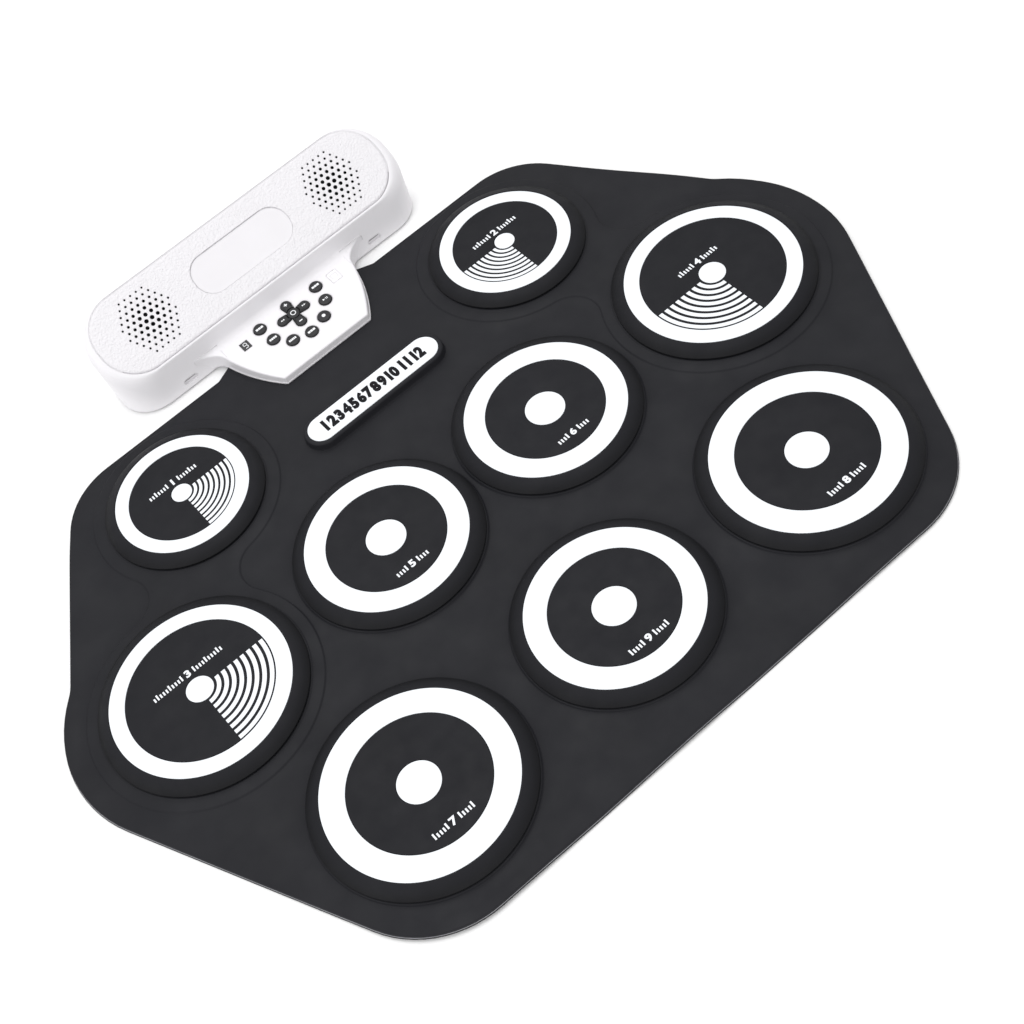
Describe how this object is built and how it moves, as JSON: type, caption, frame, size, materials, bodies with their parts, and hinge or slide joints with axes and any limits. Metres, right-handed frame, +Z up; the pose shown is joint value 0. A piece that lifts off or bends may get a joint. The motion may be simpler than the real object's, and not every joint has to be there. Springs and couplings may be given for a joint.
{
  "type": "electronic drum pad",
  "caption": "Roll-up silicone drum mat with raised round striking pads, joined by its neck to a white wedge console with speaker grilles and a sloping key panel.",
  "frame": {"origin": "on the table, under the middle of the whole object's box", "axes": "+X to the player's right along the long side, +Y from the player to the console, +Z up"},
  "size_m": [0.595, 0.4999, 0.0633],
  "materials": {
    "silicone_mat": "matte fine-grained silicone",
    "silicone_pad": "matte silicone",
    "silicone_underside": "matte silicone with fine grip texture",
    "white_inlay": "satin white print",
    "white_housing": "satin moulded white",
    "white_grained_cover": "satin white with fine leather grain",
    "white_base": "fine spark-eroded texture",
    "foot_rubber": "matte",
    "steel_screws": "zinc plated",
    "sensor_film": "glossy polyester film",
    "sensor_disc": "brushed",
    "key_mat_rubber": "matte",
    "circuit_board": "satin solder mask",
    "display_window": "gloss",
    "indicator_lens": "translucent satin",
    "socket_plastic": "moulded black",
    "socket_steel": "stamped",
    "switch_knob": "ribbed",
    "battery_wrap": "shrink wrap",
    "speaker_basket": "black coated",
    "speaker_cone": "pressed paper",
    "lead_insulation": "satin",
    "key_plastic": "fine matte"
  },
  "bodies": {
    "console_and_mat": {"mat_base_sheet": "silicone_underside", "sensor_film": "sensor_film", "sensor_discs": "sensor_disc", "mat_top_sheet": "silicone_mat", "badge_base": "silicone_pad", "badge_plate": "white_inlay", "console_housing": "white_housing", "face_cover": "white_grained_cover", "base_cover": "white_base", "rubber_feet": "foot_rubber", "case_screws": "steel_screws", "neck_clamp_plate": "white_base", "neck_screws": "steel_screws", "key_mat": "key_mat_rubber", "key_board": "circuit_board", "digit_display": "display_window", "indicator_lens": "indicator_lens", "key_ribbon": "sensor_film", "headphone_jack": "socket_plastic", "audio_in_jack": "socket_plastic", "bass_pedal_jack": "socket_plastic", "hi_hat_pedal_jack": "socket_plastic", "usb_socket": "socket_steel", "switch_case": "socket_plastic", "main_board": "circuit_board", "board_screws": "steel_screws", "film_connector": "socket_plastic", "ribbon_connector": "socket_plastic", "battery": "battery_wrap", "left_speaker_basket": "speaker_basket", "right_speaker_basket": "speaker_basket", "speaker_leads": "lead_insulation", "battery_lead": "lead_insulation"},
    "left_crash_pad": {"left_crash_pad": "silicone_pad"},
    "right_crash_pad": {"right_crash_pad": "silicone_pad"},
    "hi_hat_pad": {"hi_hat_pad": "silicone_pad"},
    "ride_pad": {"ride_pad": "silicone_pad"},
    "high_tom_pad": {"high_tom_pad": "silicone_pad"},
    "low_tom_pad": {"low_tom_pad": "silicone_pad"},
    "snare_pad": {"snare_pad": "silicone_pad"},
    "floor_tom_pad": {"floor_tom_pad": "silicone_pad"},
    "bass_pad": {"bass_pad": "silicone_pad"},
    "kit_key": {"kit_key": "key_plastic"},
    "rhythm_key": {"rhythm_key": "key_plastic"},
    "demo_key": {"demo_key": "key_plastic"},
    "metronome_key": {"metronome_key": "key_plastic"},
    "record_key": {"record_key": "key_plastic"},
    "play_key": {"play_key": "key_plastic"},
    "tempo_key": {"tempo_key": "key_plastic"},
    "power_key": {"power_key": "key_plastic"},
    "volume_up_key": {"volume_up_key": "key_plastic"},
    "volume_down_key": {"volume_down_key": "key_plastic"},
    "previous_key": {"previous_key": "key_plastic"},
    "next_key": {"next_key": "key_plastic"},
    "left_speaker_cone": {"left_speaker_cone": "speaker_cone"},
    "right_speaker_cone": {"right_speaker_cone": "speaker_cone"},
    "power_switch": {"power_switch": "switch_knob"}
  },
  "joints": [
    {"name": "left_crash_pad_press", "type": "slide", "parent": "console_and_mat", "child": "left_crash_pad", "axis": [0, 0, -1], "range_m": [0, 0.0008], "stiffness_N_per_m": 4000},
    {"name": "right_crash_pad_press", "type": "slide", "parent": "console_and_mat", "child": "right_crash_pad", "axis": [0, 0, -1], "range_m": [0, 0.0008], "stiffness_N_per_m": 4000},
    {"name": "hi_hat_pad_press", "type": "slide", "parent": "console_and_mat", "child": "hi_hat_pad", "axis": [0, 0, -1], "range_m": [0, 0.0008], "stiffness_N_per_m": 4000},
    {"name": "ride_pad_press", "type": "slide", "parent": "console_and_mat", "child": "ride_pad", "axis": [0, 0, -1], "range_m": [0, 0.0008], "stiffness_N_per_m": 4000},
    {"name": "high_tom_pad_press", "type": "slide", "parent": "console_and_mat", "child": "high_tom_pad", "axis": [0, 0, -1], "range_m": [0, 0.0008], "stiffness_N_per_m": 4000},
    {"name": "low_tom_pad_press", "type": "slide", "parent": "console_and_mat", "child": "low_tom_pad", "axis": [0, 0, -1], "range_m": [0, 0.0008], "stiffness_N_per_m": 4000},
    {"name": "snare_pad_press", "type": "slide", "parent": "console_and_mat", "child": "snare_pad", "axis": [0, 0, -1], "range_m": [0, 0.0008], "stiffness_N_per_m": 4000},
    {"name": "floor_tom_pad_press", "type": "slide", "parent": "console_and_mat", "child": "floor_tom_pad", "axis": [0, 0, -1], "range_m": [0, 0.0008], "stiffness_N_per_m": 4000},
    {"name": "bass_pad_press", "type": "slide", "parent": "console_and_mat", "child": "bass_pad", "axis": [0, 0, -1], "range_m": [0, 0.0008], "stiffness_N_per_m": 4000},
    {"name": "kit_key_press", "type": "slide", "parent": "console_and_mat", "child": "kit_key", "axis": [0, 0.108, -0.9942], "range_m": [0, 0.0008], "stiffness_N_per_m": 900},
    {"name": "rhythm_key_press", "type": "slide", "parent": "console_and_mat", "child": "rhythm_key", "axis": [0, 0.108, -0.9942], "range_m": [0, 0.0008], "stiffness_N_per_m": 900},
    {"name": "demo_key_press", "type": "slide", "parent": "console_and_mat", "child": "demo_key", "axis": [0, 0.108, -0.9942], "range_m": [0, 0.0008], "stiffness_N_per_m": 900},
    {"name": "metronome_key_press", "type": "slide", "parent": "console_and_mat", "child": "metronome_key", "axis": [0, 0.108, -0.9942], "range_m": [0, 0.0008], "stiffness_N_per_m": 900},
    {"name": "record_key_press", "type": "slide", "parent": "console_and_mat", "child": "record_key", "axis": [0, 0.108, -0.9942], "range_m": [0, 0.0008], "stiffness_N_per_m": 900},
    {"name": "play_key_press", "type": "slide", "parent": "console_and_mat", "child": "play_key", "axis": [0, 0.108, -0.9942], "range_m": [0, 0.0008], "stiffness_N_per_m": 900},
    {"name": "tempo_key_press", "type": "slide", "parent": "console_and_mat", "child": "tempo_key", "axis": [0, 0.108, -0.9942], "range_m": [0, 0.0008], "stiffness_N_per_m": 900},
    {"name": "power_key_press", "type": "slide", "parent": "console_and_mat", "child": "power_key", "axis": [0, 0.108, -0.9942], "range_m": [0, 0.0008], "stiffness_N_per_m": 900},
    {"name": "volume_up_key_press", "type": "slide", "parent": "console_and_mat", "child": "volume_up_key", "axis": [0, 0.108, -0.9942], "range_m": [0, 0.0008], "stiffness_N_per_m": 900},
    {"name": "volume_down_key_press", "type": "slide", "parent": "console_and_mat", "child": "volume_down_key", "axis": [0, 0.108, -0.9942], "range_m": [0, 0.0008], "stiffness_N_per_m": 900},
    {"name": "previous_key_press", "type": "slide", "parent": "console_and_mat", "child": "previous_key", "axis": [0, 0.108, -0.9942], "range_m": [0, 0.0008], "stiffness_N_per_m": 900},
    {"name": "next_key_press", "type": "slide", "parent": "console_and_mat", "child": "next_key", "axis": [0, 0.108, -0.9942], "range_m": [0, 0.0008], "stiffness_N_per_m": 900},
    {"name": "left_speaker_cone_excursion", "type": "slide", "parent": "console_and_mat", "child": "left_speaker_cone", "axis": [0, -0.5592, 0.829], "range_m": [-0.0005, 0.0005], "stiffness_N_per_m": 1500},
    {"name": "right_speaker_cone_excursion", "type": "slide", "parent": "console_and_mat", "child": "right_speaker_cone", "axis": [0, -0.5592, 0.829], "range_m": [-0.0005, 0.0005], "stiffness_N_per_m": 1500},
    {"name": "power_switch_slide", "type": "slide", "parent": "console_and_mat", "child": "power_switch", "axis": [1, 0, 0], "range_m": [0, 0.002]}
  ]
}
